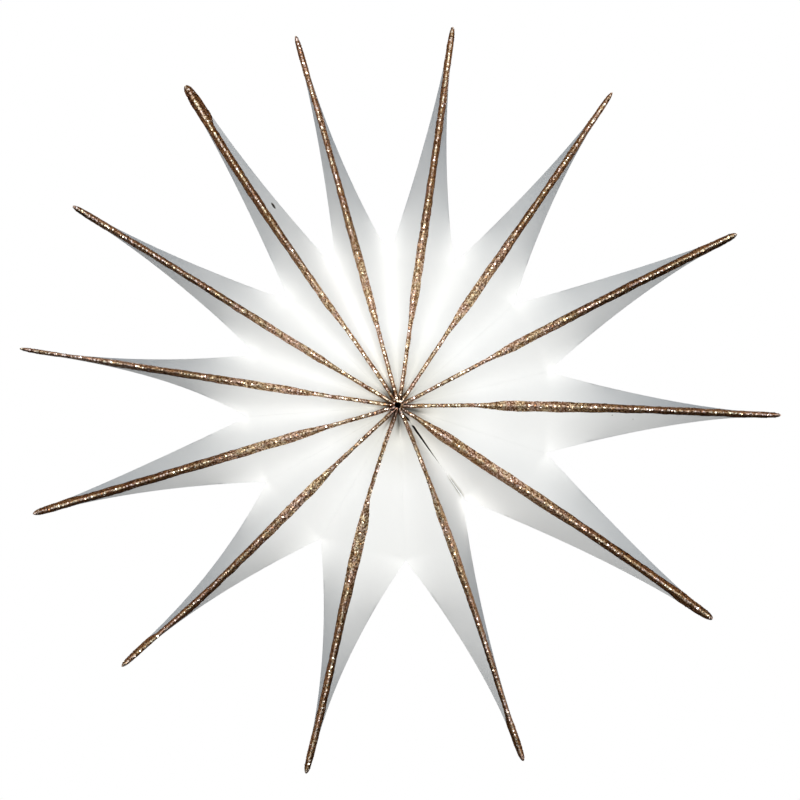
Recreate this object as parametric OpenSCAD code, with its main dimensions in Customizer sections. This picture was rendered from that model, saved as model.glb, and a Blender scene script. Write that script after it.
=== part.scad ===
// Folded paper star: thirteen hollow paper points, glued side to side around a hub,
// with glitter along every front and back fold.
// It hangs upright. The star's axis is Y, its front faces -Y, and the origin is the middle of the hub.
// Each point is worked out in its own directions: r runs out from the hub, x runs sideways
// (clockwise seen from the front) and h runs to the front. The back is the mirror image of the front.

/* [Star] */
// Distance from the middle of the hub to the end of a point
star_r = 300; // [270:5:360]
// Distance from the middle of the hub to the notch between two points, measured along a point
notch_r = 117; // [105:1:136]
// Distance from the middle of the hub to the notch at the seam, measured along a point
seam_notch_r = 85; // [74:1:98]
// Height of the front pole above the middle plane
pole_h = 75; // [60:1:90]
// Radius of the open hole down the middle of the hub
hub_r = 2.5; // [2.5:0.1:4]
// Height of the fold above the middle plane at the end of a point
tip_h = 2; // [1.5:0.1:3]
// Half of the paper's width at the end of a point
tip_half_w = 2.3; // [1.8:0.1:3]
// Length of the end of a point over which it no longer narrows
even_l = 20; // [12:1:30]

/* [Paper] */
// Thickness of the paper
paper_t = 0.25; // [0.1:0.05:0.3]
// Gap that the glue film fills between two neighbouring points
glue_t = 0.05; // [0.03:0.01:0.1]
// How far the faces sink into a soft hollow between fold and valley
face_hollow = 0.5; // [0:0.05:0.7]
// Depth of the pocket between two folds at the hub
pocket_h = 14; // [4:1:20]
// Radius at which that pocket has run out
pocket_r = 24; // [16:1:36]
// Height of the glued joint above the middle plane at a notch
joint_h = 20; // [14:0.5:24]
// Height of the seam's two walls above the middle plane at its notch
seam_joint_h = 8; // [6:0.5:14]
// Length beyond a notch over which a side sinks from the joint's height to its narrow edge
free_l = 60; // [45:5:75]
// Height of that narrow edge, as a share of the height of the fold on the flat sheet
side_share = 0.07; // [0.05:0.01:0.15]

/* [Glitter] */
// Thickness of the glitter on top of a fold
coat_t = 0.5; // [0.3:0.05:0.8]
// Thickness of the glitter along its two edges
coat_edge_t = 0.15; // [0.1:0.01:0.3]
// Half of the glitter's width near the hub
coat_inner_w = 1.3; // [0.8:0.1:2]
// Half of the glitter's full width
coat_full_w = 3.3; // [2.6:0.1:4]
// Radius at which the glitter has its full width
coat_full_r = 95; // [80:5:120]
// Length over which the glitter widens to its full width
coat_widen = 25; // [15:1:40]
// Length of the end of a point that is glitter all round
sleeve_l = 38; // [25:1:50]
// Length of the nose that closes the end of a point
nose_l = 9; // [6:1:12]
// Distance from the end of the nose to the end of the paper inside it
nose_t = 2.5; // [1.5:0.1:4]
// Clearance between the paper and the glitter on it
coat_seat = 0.03; // [0.02:0.01:0.1]

/* [Seam] */
// How far the seam leans clockwise from the middle between its two points, in degrees
seam_lean = 2.5; // [-3:0.5:3]
// Widest opening of the seam, near the hub
seam_open = 1.6; // [1.2:0.1:2]
// Radius at which the seam is widest
seam_wide_r = 15; // [10:1:18]
// Radius at which the seam has closed again
seam_shut_r = 52; // [46:1:62]
// Opening of the seam at its notch
seam_end_open = 0.7; // [0.2:0.1:1]
// Length of a closing pad, out from the hub
pad_l = 18; // [10:1:20]
// Width of a closing pad, from front to back
pad_w = 14; // [8:1:18]
// Distance from the middle of the hub to the middle of a pad
pad_r = 26; // [25:1:28]
// Height of the middle of a pad above the middle plane
pad_h = 16; // [10:1:18]
// Clearance between a pad and each of the two papers that it joins
pad_seat = 0.06; // [0.03:0.01:0.1]

/* [Hidden] */

// The fan is uneven, as hand-glued paper is. These lists hold one value for each point, clockwise
// from the point that stands just left of the top.
// Direction of each point in degrees, up from the right-hand side
azimuth = [105.3, 82, 55.8, 27.2, -1.3, -34.2, -70.7, -104.4, -136.7, -163.8, -188.3, -211.5, -236.1];
// How much longer or shorter than the rest each point is
trim = [3, 3, -1, -1, 1, -2, -4, -2, -1, 0, 2, 0, 3];
// Sideways bow of each fold, and a second wave that makes it sway
bow = [0, 0, -0.5, -1, -2.5, -1.5, -3, 3.5, -1.5, 0, 0.5, 0, -2];
sway = [0, -0.5, -0.5, 0, -0.5, 0.5, -0.5, 2, 1.5, 0.5, -0.5, -0.5, 0.5];
// Taper of each point on its anticlockwise and on its clockwise side: 1 is straight, 2 is hollow
taper_ccw = [1.5, 1.4, 1.4, 1.2, 1.5, 1.2, 1.9, 1.8, 1.6, 1.6, 2.5, 1.7, 1.4];
taper_cw = [1.9, 1.7, 1.7, 1.6, 1.5, 1.5, 1.6, 1.8, 2.2, 1.2, 1.8, 1.5, 1.7];
// How many times the usual width of the glitter each point's is, and how many times as far out it is reached
coat_w_of = [0.85, 0.95, 1, 1.1, 1.05, 1.2, 0.9, 1.2, 1, 1.2, 0.9, 0.9, 1.1];
coat_r_of = [1, 1, 1, 1, 1, 0.5, 1, 1, 1, 1, 1, 1, 1.5];
// How many times the usual width of its end each point has
tip_w_of = [0.8, 0.9, 0.8, 1.2, 0.9, 1.3, 1, 1, 1, 1.2, 0.5, 1, 1.6];

points = len(azimuth);
// The seam lies on the clockwise side of this point, counted from 0
seam_after = 5;
// Free paper between the fold and the glue, measured at the notch on the flat sheet
strip_l = pole_h * (1 - notch_r / star_r);
// A fold keeps at least this share of its height above the valley at the notch
least_drop = 0.4;
// How suddenly a fold's sag levels off at the notch, and how late it runs out towards the tip
sag_turn = 8;
sag_end = 4;
// The hollow of the faces starts to flatten at this share of the notch's radius, and is gone at twice that
hollow_fade = 0.8;
// Most of a face's width that its glitter may cover
coat_share = 0.8;

// Sides of a point: -1 is the anticlockwise side, 1 is the clockwise side
function clamp(v) = min(1, max(0, v));
// An even S from 0 to 1
function smooth(v) = let (c = clamp(v)) c * c * (3 - 2 * c);
function tip_r(i) = star_r + trim[i];
function sleeve_r(i) = tip_r(i) - sleeve_l;
// Radius at which the paper inside the nose ends
function paper_r(i) = tip_r(i) - nose_t;
function before(i) = (i + points - 1) % points;
function gap_after(i) = (azimuth[i] - azimuth[(i + 1) % points] + 360) % 360;
function at_seam(i, s) = (s > 0 ? i : before(i)) == seam_after;
function half_gap(i, s) =
    (s > 0 ? gap_after(i) : gap_after(before(i))) / 2 + (at_seam(i, s) ? s * seam_lean : 0);
function side_notch_r(i, s) = at_seam(i, s) ? seam_notch_r : notch_r;
function taper(i, s) = s > 0 ? taper_cw[i] : taper_ccw[i];
function tip_w(i) = tip_half_w * tip_w_of[i];

// Opening of the seam: it widens from the hub, closes, and opens again a little at its notch
function seam_gap(r) =
    glue_t + (r < seam_wide_r ? seam_open * r / seam_wide_r
    : r < seam_shut_r ? seam_open * (seam_shut_r - r) / (seam_shut_r - seam_wide_r)
    : seam_end_open * (r - seam_shut_r) / (seam_notch_r - seam_shut_r));
function joint_gap(i, s, r) = at_seam(i, s) ? seam_gap(r) : glue_t;
// Width from the point's middle line to the glue between it and its neighbour
function wedge_w(i, s, r) = r * tan(half_gap(i, s)) - joint_gap(i, s, r) / 2 / cos(half_gap(i, s));
// Width of a side: the wedge as far as the notch, then a taper to the even end
function side_w(i, s, r) =
    let (n = side_notch_r(i, s), even_r = tip_r(i) - even_l, left = clamp((even_r - r) / (even_r - n)))
    r <= n ? wedge_w(i, s, r) : tip_w(i) + (wedge_w(i, s, n) - tip_w(i)) * pow(left, taper(i, s));

// Height of the fold: straight on the flat sheet, and sagging where the two faces are pulled apart,
// because paper bends but does not stretch
function spread(i) = (side_w(i, -1, notch_r) + side_w(i, 1, notch_r)) / 2;
function sag(i) = strip_l - sqrt(max(pow(strip_l, 2) - pow(spread(i), 2), pow(least_drop * strip_l, 2)));
function sheet_h(i, r) = pole_h * (1 - r / tip_r(i)) + tip_h * r / tip_r(i);
function fold_h(i, r) =
    let (u = r / notch_r)
    sheet_h(i, r) - sag(i) * u / sqrt(1 + pow(u, sag_turn)) * (1 - pow(r / tip_r(i), sag_end));
function fold_x(i, r) = bow[i] * sin(180 * r / tip_r(i)) + sway[i] * sin(360 * r / tip_r(i));

// Height of the valley between two points: it falls straight from the pole to the joint's height at
// the notch, and beyond the notch the free side sinks to its narrow edge
function side_h(r) = side_share * (pole_h * max(0, 1 - r / star_r) + tip_h);
function pocket(r) = pocket_h * pow(clamp(1 - r / pocket_r), 2);
function valley_h(i, s, r) =
    let (n = side_notch_r(i, s), v = r / n, top = at_seam(i, s) ? seam_joint_h : joint_h)
    r <= n ? top * v + pole_h * (1 - v) - pocket(r)
    : side_h(r) + (top - side_h(n)) * (1 - smooth((r - n) / free_l));

// A face runs from the fold, where f is 0, to the valley or side, where f is 1
function hollow(r) = face_hollow * clamp(r / pocket_r) * clamp(2 - r / (hollow_fade * notch_r));
function face_span(i, s, r) = s * side_w(i, s, r) - fold_x(i, r);
function face_drop(i, s, r) = fold_h(i, r) - valley_h(i, s, r);
function face_h(i, s, r, f) =
    valley_h(i, s, r) + face_drop(i, s, r) * (1 - f) * (1 - hollow(r) * f);
function face_slope(i, s, r, f) =
    face_drop(i, s, r) / abs(face_span(i, s, r)) * (1 + hollow(r) * (1 - 2 * f));
// Half of the glitter's width, and where its edge lies on the face
function glitter_w(i, r) =
    let (full_w = coat_full_w * coat_w_of[i], full_r = coat_full_r * coat_r_of[i])
    coat_inner_w + (full_w - coat_inner_w) * clamp(1 + (r - full_r) / coat_widen);
function edge_f(i, s, r) = min(coat_share, glitter_w(i, r) / abs(face_span(i, s, r)));
// The four places of a face's outline: fold, edge of the glitter, middle of the bare paper, side
function place_f(i, s, r, k) =
    let (e = edge_f(i, s, r))
    [0, e, (1 + e) / 2, 1][k];

// Sideways place and height of one corner of a point's outline, for each of its four skins
function paper_outside(i, s, r, k) =
    let (f = place_f(i, s, r, k))
    [fold_x(i, r) + face_span(i, s, r) * f, face_h(i, s, r, f)];
function paper_inside(i, s, r, k) =
    let (
        f = place_f(i, s, r, k),
        m = k == 0 ? (face_slope(i, -1, r, 0) + face_slope(i, 1, r, 0)) / 2 : face_slope(i, s, r, f)
    )
    paper_outside(i, s, r, k) - paper_t * [s * f, sqrt(1 + m * m) - f * m];
function coat_inside(i, s, r, k) =
    paper_outside(i, s, r, k) + coat_seat * [s * place_f(i, s, r, k), 1];
// Away from the fold the glitter is thin, and along the sleeve it grows to its full thickness
function coat_side_t(i, r) =
    coat_edge_t + (coat_t - coat_edge_t) * clamp((r - sleeve_r(i)) / (sleeve_l - nose_l));
function coat_outside(i, s, r, k) =
    let (
        under = coat_inside(i, s, r, k),
        m = face_slope(i, s, r, place_f(i, s, r, k)),
        room = side_w(i, s, r) - abs(under[0]),
        t = r < sleeve_r(i) ? min(coat_edge_t, room / 2) : coat_side_t(i, r)
    )
    k == 0 ? under + [0, coat_t]
    : k == 3 ? under + [s * t, 0]
    : under + t * [s * m, 1] / sqrt(1 + m * m);
function skin(name, i, s, r, k) =
    name == "paper outside" ? paper_outside(i, s, r, k)
    : name == "paper inside" ? paper_inside(i, s, r, k)
    : name == "coat inside" ? coat_inside(i, s, r, k)
    : coat_outside(i, s, r, k);

// Turns a place in a point's own directions into the star's
function in_star(i, r, x, h) = [
    r * cos(azimuth[i]) + x * sin(azimuth[i]),
    -h,
    r * sin(azimuth[i]) - x * cos(azimuth[i])
];
// The outline's corners in order: front fold, clockwise side, back fold, anticlockwise side
corners = [
    [1, 0, 1], [1, 1, 1], [1, 2, 1], [1, 3, 1], [1, 3, -1], [1, 2, -1], [1, 1, -1],
    [1, 0, -1], [-1, 1, -1], [-1, 2, -1], [-1, 3, -1], [-1, 3, 1], [-1, 2, 1], [-1, 1, 1]
];
turn = len(corners);
function outline(name, i, r) = [
    for (c = corners)
        let (p = skin(name, i, c[0], r, c[1]))
        in_star(i, r, p[0], c[2] * p[1])
];
// Radii of the outlines that a point is built from
function radii(i) = [
    hub_r,
    seam_wide_r,
    seam_shut_r,
    seam_notch_r,
    notch_r,
    for (f = [0.19, 0.42, 0.68]) notch_r + f * (sleeve_r(i) - notch_r),
    sleeve_r(i),
    tip_r(i) - nose_l
];
rings = len(radii(0));
sleeve_ring = rings - 2;
function skin_points(name, i, end_r) = [
    for (r = radii(i)) each outline(name, i, r),
    in_star(i, end_r, fold_x(i, end_r), 0)
];

// Faces are triangles, so that the two skins of one wall bend alike
function quad(a, b, c, d) = [[a, b, c], [a, c, d]];
function at(ring, corner) = ring * turn + corner % turn;
function flip(faces) = [for (f = faces) [f[2], f[1], f[0]]];
function lift(faces, by) = [for (f = faces) [for (v = f) v + by]];
function strip(ring, k) = quad(at(ring, k), at(ring + 1, k), at(ring + 1, k + 1), at(ring, k + 1));
function nose(k) = [[at(rings - 1, k), rings * turn, at(rings - 1, k + 1)]];
// Joins the outer skin's outline at a ring to the inner skin's
function rim(ring, k, by) = quad(at(ring, k), at(ring, k + 1), at(ring, k + 1) + by, at(ring, k) + by);
// Closes the side of a band between two rings, along one corner
function band_side(ring, k, by) = quad(at(ring, k), at(ring + 1, k), at(ring + 1, k) + by, at(ring, k) + by);

all_strips = [for (k = [0:turn - 1]) k];
// Strips beside the front fold and the back fold, which carry the glitter
band_strips = [turn - 1, 0, 6, 7];
bare_strips = [1, 2, 3, 4, 5, 8, 9, 10, 11, 12];
skin_size = rings * turn + 1;

// A wall of point i between an outer and an inner skin, each given by its name and the radius of its end
module wall(i, outer, inner, skin_faces, join_faces) {
    polyhedron(
        points = concat(skin_points(outer[0], i, outer[1]), skin_points(inner[0], i, inner[1])),
        faces = concat(skin_faces, lift(flip(skin_faces), skin_size), join_faces)
    );
}

// One folded cell of paper, open at the hub and closed at its tip
module paper_point(i) {
    skin_faces = [
        for (ring = [0:rings - 2], k = all_strips) each strip(ring, k),
        for (k = all_strips) each nose(k)
    ];
    hub_end = [for (k = all_strips) each rim(0, k, skin_size)];
    outer = ["paper outside", paper_r(i)];
    inner = ["paper inside", paper_r(i) - 3 * paper_t];
    color("white")
        wall(i, outer, inner, skin_faces, hub_end);
}

// The glitter on one point: a band on each fold, and a sleeve around the tip that joins the two
module glitter_coat(i) {
    skin_faces = [
        for (ring = [0:sleeve_ring - 1], k = band_strips) each strip(ring, k),
        for (ring = [sleeve_ring:rings - 2], k = all_strips) each strip(ring, k),
        for (k = all_strips) each nose(k)
    ];
    ends = [
        for (k = band_strips) each rim(0, k, skin_size),
        for (k = bare_strips) each rim(sleeve_ring, k, skin_size)
    ];
    sides = [
        for (ring = [0:sleeve_ring - 1], k = [1, 8]) each band_side(ring, k, skin_size),
        for (ring = [0:sleeve_ring - 1], k = [6, turn - 1]) each flip(band_side(ring, k, skin_size))
    ];
    outer = ["coat outside", tip_r(i)];
    inner = ["coat inside", paper_r(i) + coat_seat];
    color([0.55, 0.4, 0.3])
        wall(i, outer, inner, skin_faces, concat(ends, sides));
}

// A double-sided pad that holds the seam shut, on the front half or the back half.
// It is as thick as the seam is wide at the pad's outer end.
module seam_pad(facing) {
    pad_t = seam_gap(pad_r + pad_l / 2) - 2 * pad_seat;
    color([0.9, 0.9, 0.85])
        rotate([0, half_gap(seam_after, 1) - azimuth[seam_after], 0])
            translate([pad_r, -facing * pad_h, 0])
                cube([pad_l, pad_w, pad_t], center = true);
}

for (i = [0:points - 1]) {
    paper_point(i);
    glitter_coat(i);
}
seam_pad(1);  // seam_pad_front
seam_pad(-1);  // seam_pad_back
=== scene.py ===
# %% [markdown]
# A folded paper star, thirteen long points round a hub, with glitter on every fold.
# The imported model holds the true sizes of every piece. It is loaded first, and each
# piece made here stands for one of its nodes and stays in that node's place.

# %% Load the model
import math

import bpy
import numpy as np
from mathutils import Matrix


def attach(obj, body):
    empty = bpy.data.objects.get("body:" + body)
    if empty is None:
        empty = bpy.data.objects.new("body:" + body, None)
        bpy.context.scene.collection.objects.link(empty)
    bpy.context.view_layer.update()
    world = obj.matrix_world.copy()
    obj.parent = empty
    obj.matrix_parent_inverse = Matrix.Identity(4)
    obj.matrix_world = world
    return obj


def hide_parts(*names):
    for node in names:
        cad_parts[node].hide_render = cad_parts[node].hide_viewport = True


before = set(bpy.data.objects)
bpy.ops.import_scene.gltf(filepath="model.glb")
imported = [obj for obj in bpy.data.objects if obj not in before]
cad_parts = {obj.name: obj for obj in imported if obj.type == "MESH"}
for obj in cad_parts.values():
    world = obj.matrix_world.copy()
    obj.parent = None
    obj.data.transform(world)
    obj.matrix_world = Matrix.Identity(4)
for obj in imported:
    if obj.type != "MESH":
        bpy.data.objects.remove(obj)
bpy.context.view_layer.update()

# %% [markdown]
# Lengths are written in millimetres, as a paper maker would give them, and become metres when a mesh is made.

MM = 0.001

# %% [markdown]
# The star is a ring of hollow cells. Each cell is a sheet folded to a sharp front fold
# and a sharp back fold. Cells are glued side by side from the hub out to a notch, and
# from there each one tapers alone to its tip. These are the sizes that drive the shape.

# %% Sizes of the star
STAR_R = 300
NOTCH_R = 117
SEAM_NOTCH_R = 85
POLE_H = 75
HUB_R = 2.5
TIP_H = 2
TIP_HALF_W = 2.3
EVEN_L = 20
NOSE_TAPER_L = 15
NOSE_SHARE = 0.5
PAPER_T = 0.25
GLUE_T = 0.05
POCKET_H = 14
POCKET_R = 24
JOINT_H = 20
SEAM_JOINT_H = 8
FREE_L = 60
SIDE_SHARE = 0.07
SEAM_LEAN = 2.5
SEAM_OPEN = 2.1
SEAM_WIDE_R = 15
SEAM_SHUT_R = 52
SEAM_CLOSING = 0.6
SEAM_END_OPEN = 0.9

# %% [markdown]
# A star glued by hand is uneven. Each list below holds one value for each point,
# clockwise from the point just left of the top: its direction in degrees, how much
# longer it is than the rest, how its fold bows and sways sideways, how hollow its
# taper is on either side, how wide its end is, how deep the pocket is beside the hub on
# its clockwise side, and how far its end leans over anticlockwise.

# %% The unevenness of the thirteen points
AZIMUTH = [105.3, 82, 55.8, 27.2, -1.3, -34.2, -70.7, -104.4, -136.7, -163.8, -188.3, -211.5, -236.1]
TRIM = [5, 4, 1, 1, 3.2, 1, -1.4, 1, 2, 2.8, 4.6, 3.8, 5.8]
BOW = [0, 0, -0.5, -1, -2.5, -1.5, -3, 3.5, -1.5, 0, 0.5, 0, -2]
SWAY = [0, -0.5, -0.5, 0, -0.5, 0.5, -0.5, 2, 1.5, 0.5, -0.5, -0.5, 0.5]
TAPER_CCW = [1.5, 1.4, 1.4, 1.2, 1.5, 1.2, 1.9, 1.8, 1.6, 1.6, 2.5, 1.7, 1.4]
TAPER_CW = [1.9, 1.7, 1.7, 1.6, 1.5, 1.5, 1.6, 1.8, 2.2, 1.2, 1.8, 1.5, 1.7]
TIP_W_OF = [0.85, 0.95, 0.8, 1.2, 0.9, 1.5, 1.1, 1.1, 1, 1.2, 0.6, 1, 1.85]
POCKET_OF = [0.9, 1.1, 0.8, 0.8, 1.6, 0.2, 1.6, 1.2, 0.7, 1.2, 1.1, 1.2, 1.5]
LEAN = [1.6, -0.5, 0, -1.1, -0.5, 0, 0, 1, -0.5, 1.1, -1.6, 0, -1.1]
LEAN_POWER = 4
POINTS = len(AZIMUTH)
SEAM_AFTER = 5
print("points:", POINTS, "seam after point", SEAM_AFTER + 1)


# %% [markdown]
# The outline of a point is worked out in the point's own directions: r runs out from
# the hub, x runs sideways and h runs to the front. Side -1 is the anticlockwise side
# and side 1 the clockwise side. All of these take whole arrays of radii at once.

# %% Widths
def clamp(value):
    return np.clip(value, 0, 1)


def smooth(value):
    """An even S from 0 to 1."""
    v = clamp(value)
    return v * v * (3 - 2 * v)


def tip_r(i):
    return STAR_R + TRIM[i]


def gap_after(i):
    return (AZIMUTH[i] - AZIMUTH[(i + 1) % POINTS] + 360) % 360


def valley_of(i, s):
    """The valley on that side, numbered by the point that lies anticlockwise of it."""
    return i if s > 0 else (i - 1) % POINTS


def at_seam(i, s):
    return valley_of(i, s) == SEAM_AFTER


def half_gap(i, s):
    """Half the angle between two points. The seam leans a little to one side."""
    gap = gap_after(valley_of(i, s))
    lean = s * SEAM_LEAN if at_seam(i, s) else 0
    return math.radians(gap / 2 + lean)


def notch_of(i, s):
    return SEAM_NOTCH_R if at_seam(i, s) else NOTCH_R


def seam_gap(r):
    """Width of the open seam: it opens from the hub, nearly shuts, and opens again to its notch."""
    widening = SEAM_OPEN * r / SEAM_WIDE_R
    closing = SEAM_OPEN * clamp((SEAM_SHUT_R - r) / (SEAM_SHUT_R - SEAM_WIDE_R)) ** SEAM_CLOSING
    opening = SEAM_END_OPEN * (r - SEAM_SHUT_R) / (SEAM_NOTCH_R - SEAM_SHUT_R)
    return GLUE_T + np.where(r < SEAM_WIDE_R, widening, np.where(r < SEAM_SHUT_R, closing, opening))


def wedge_w(i, s, r):
    """Half width of a cell between its neighbours, as far as the notch."""
    gap = seam_gap(r) if at_seam(i, s) else GLUE_T
    return r * math.tan(half_gap(i, s)) - gap / 2 / math.cos(half_gap(i, s))


def side_w(i, s, r):
    """Half width of a cell anywhere: the wedge first, then the taper to the tip."""
    n = notch_of(i, s)
    even_r = tip_r(i) - EVEN_L
    drawn_in = (1 - NOSE_SHARE) * clamp((r - tip_r(i) + NOSE_TAPER_L) / NOSE_TAPER_L)
    tip_w = TIP_HALF_W * TIP_W_OF[i] * (1 - drawn_in)
    taper = TAPER_CW[i] if s > 0 else TAPER_CCW[i]
    left = clamp((even_r - r) / (even_r - n))
    return np.where(r <= n, wedge_w(i, s, r), tip_w + (wedge_w(i, s, n) - tip_w) * left ** taper)


print("width at the notch:", [round(float(side_w(i, 1, NOTCH_R)), 1) for i in range(POINTS)])

# %% [markdown]
# Paper bends but doesn't stretch. Where a cell is pulled wide, its fold has to sink, and
# the fold's height comes from that. The valley between two cells falls from the pole to
# the end of the glued joint at the notch, with a small pocket beside the hub. Beyond the
# notch the side is free, and sinks to a narrow edge. So the faces lie flat inside the
# ring of notches and stand steep outside it, and that alone makes the middle of the star
# bright and its points grey.

# %% Heights
STRIP_L = POLE_H * (1 - NOTCH_R / STAR_R)
LEAST_DROP = 0.4
SAG_TURN = 8
SAG_END = 4


def sag(i):
    """How far a fold has sunk at the notch, where its sheet is pulled wide."""
    spread = (side_w(i, -1, NOTCH_R) + side_w(i, 1, NOTCH_R)) / 2
    return STRIP_L - math.sqrt(max(STRIP_L ** 2 - spread ** 2, (LEAST_DROP * STRIP_L) ** 2))


def fold_h(i, r):
    """Height of the front fold over the middle plane."""
    sheet = POLE_H * (1 - r / tip_r(i)) + TIP_H * r / tip_r(i)
    u = r / NOTCH_R
    return sheet - sag(i) * u / np.sqrt(1 + u ** SAG_TURN) * (1 - (r / tip_r(i)) ** SAG_END)


def fold_x(i, r):
    """How far the fold bows and sways to the side."""
    turn = math.pi * r / tip_r(i)
    return BOW[i] * np.sin(turn) + SWAY[i] * np.sin(2 * turn)


def side_h(r):
    """Height of the narrow edge that a free side sinks to."""
    return SIDE_SHARE * (POLE_H * np.maximum(0, 1 - r / STAR_R) + TIP_H)


def valley_h(i, s, r):
    """Height of the valley beside a cell, and beyond the notch of its free side."""
    n = notch_of(i, s)
    joint = SEAM_JOINT_H if at_seam(i, s) else JOINT_H
    v = r / n
    deep = POCKET_OF[valley_of(i, s)]
    pocket = POCKET_H * deep * clamp(1 - r / POCKET_R / deep) ** 2
    free = side_h(r) + (joint - side_h(n)) * (1 - smooth((r - n) / FREE_L))
    return np.where(r <= n, joint * v + POLE_H * (1 - v) - pocket, free)


print("sag of each fold:", [round(sag(i), 1) for i in range(POINTS)])

# %% [markdown]
# A quarter of the outline runs from the fold, where t is 0, to the middle of the side,
# where t is 1. Its first part is the face. Between glued valleys the sheet is bent like a
# bell, steep at the fold and flat at the valley, and beside the hub it drops the other
# way, into the pocket. Beyond the notch it springs straight. The rest is the side: a flat
# wall as far as the notch, then part of an ellipse that starts at the slope of the face,
# so that no crease or bright rim shows along the silhouette.

# %% One quarter of the outline
FACE_END = 0.7
BELL_SLOPE = 1.35
FLATTEN_L = 54
CORNER_W = 2.2
CORNER_SHARE = 0.2
ROUND_FROM = 30
ROUND_L = 60
CUSP_R = 30
CUSP_POWER = 1.7


def bell(f):
    """Height over the valley, steep at the fold and flat at the valley."""
    return 1 - BELL_SLOPE * f + (BELL_SLOPE - 1) * f ** (BELL_SLOPE / (BELL_SLOPE - 1))


def face_shape(f, r, curved):
    """Height over the end of the face, from 1 at the fold to 0."""
    cusp = 1 - smooth(r / CUSP_R)
    shape = curved * bell(f) + (1 - curved) * (1 - f)
    return shape + cusp * (1 - f ** CUSP_POWER - shape)


def quarter(i, s, r, t):
    """Sideways place and height, for arrays of radii and places that fit each other."""
    width = side_w(i, s, r)
    middle = fold_x(i, r)
    top = fold_h(i, r)
    low = valley_h(i, s, r)
    past = r - notch_of(i, s)
    curved = 1 - smooth(past / FLATTEN_L)
    corner = np.minimum(CORNER_W, CORNER_SHARE * width) * smooth((past - ROUND_FROM) / ROUND_L)
    span = s * width - middle
    slope = (1 - curved) * (top - low) / np.abs(span)
    first = np.arctan(slope * corner / low)
    end_x = span - s * corner * (1 - np.sin(first))
    end_h = low * np.cos(first)
    f = np.minimum(t / FACE_END, 1)
    along = clamp((t - FACE_END) / (1 - FACE_END))
    turn = first + (math.pi / 2 - first) * along
    side_x = span - s * corner * (1 - np.sin(turn))
    side = np.where(past > 0, low * np.cos(turn), low * (1 - along))
    x = middle + np.where(f < 1, end_x * f, side_x)
    return x, np.where(f < 1, end_h + (top - end_h) * face_shape(f, r, curved), side)


SAMPLES = np.array([0, FACE_END / 2, FACE_END])
print("height of a face, fold to valley:", quarter(0, 1, np.full(3, NOTCH_R / 2), SAMPLES)[1].round(1))

# %% [markdown]
# The seam is the one valley that isn't glued, so its two walls stand apart. They bulge
# the same way, which keeps daylight from shining straight through, and close to the hub
# their lips touch for a few millimetres.

# %% The seam
SEAM_BULGE = 2.2
SEAM_FADE = 6
PAD_TOP = 24
LIP_T = 0.03
TOUCH_FROM = 14
TOUCH_TO = 17
TOUCH_FADE = 1.5


def seam_shift(i, s, r, h):
    """How far both walls of the seam bulge clockwise."""
    room = np.maximum(valley_h(i, s, r) - PAD_TOP, 1)
    fade = clamp((SEAM_SHUT_R - r) / SEAM_FADE)
    return fade * SEAM_BULGE * np.sin(math.pi * clamp((np.abs(h) - PAD_TOP) / room))


def lip_touch(s, r, t):
    """How far a lip of the seam leans over to touch the other one."""
    there = smooth((r - TOUCH_FROM) / TOUCH_FADE + 1) * (1 - smooth((r - TOUCH_TO) / TOUCH_FADE))
    lip = smooth((t - FACE_END / 2) / (FACE_END / 2)) * (t < FACE_END + 2 * LIP_T)
    return s * (seam_gap(r) - GLUE_T) / 2 * there * lip


print("seam gap:", seam_gap(np.array([SEAM_WIDE_R, SEAM_SHUT_R, SEAM_NOTCH_R])).round(2))

# %% [markdown]
# Handled paper is never quite even. Each face gets a few slow waves, a quarter of a
# millimetre deep, that fade out at the fold and at the valley so that the glued joints
# stay shut. The waves are drawn from a fixed seed, so every run gives the same star.

# %% Slow waves in the faces
SEED = 13
WAVE_H = 0.22
WAVE_L = (45, 120)
WAVE_SHARE = (0.4, 1)
WAVES = 3
WAVE_FADE_IN = 60
WAVE_FADE_OUT = 80
CORNERS = [(1, 1), (1, -1), (-1, -1), (-1, 1)]


def draw_waves(rng):
    """Length, start and strength of each wave on one face."""
    length = rng.uniform(*WAVE_L, WAVES)
    start = rng.uniform(0, 2 * math.pi, WAVES)
    return length, start, rng.uniform(*WAVE_SHARE, WAVES)


wave_rng = np.random.default_rng(SEED)
FACE_WAVES = [{corner: draw_waves(wave_rng) for corner in CORNERS} for i in range(POINTS)]


def wave_h(i, corner, r, f):
    """Height of the waves on one face, where f is 0 at the fold and 1 at the valley."""
    total = 0
    for length, start, share in zip(*FACE_WAVES[i][corner]):
        total = total + share * np.sin(2 * math.pi * r / length + start)
    bare = smooth(r / WAVE_FADE_IN) * smooth((STAR_R - r) / WAVE_FADE_OUT)
    return WAVE_H * total * np.sin(math.pi * np.minimum(f, 1)) * bare


def surface(i, corner, r, t):
    """The paper's outer face in one quarter: sideways place, and height on the front or the back."""
    side, face = corner
    x, h = quarter(i, side, r, t)
    h = h + wave_h(i, corner, r, t / FACE_END)
    if at_seam(i, side):
        x = x + seam_shift(i, side, r, h) * (t >= FACE_END) + lip_touch(side, r, t)
    return x, face * h


print("faces with waves:", POINTS * len(CORNERS))

# %% [markdown]
# A cell is a grid: rings of points along the radius, and columns round the outline. The
# same grid, drawn in by the thickness of the paper, is its inner skin, and each skin is
# folded shut at the hub. The hole down a hand-glued hub is never straight: everything
# near the axis is moved sideways by its depth, neighbours alike, so that no light comes
# through it.

# %% From a grid to a mesh
HUB_WANDER = 3.4
WANDER_R = 16
LONGEST_MITRE = 4
LEAST_TURN = 0.1
TINY = 1e-9


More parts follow.
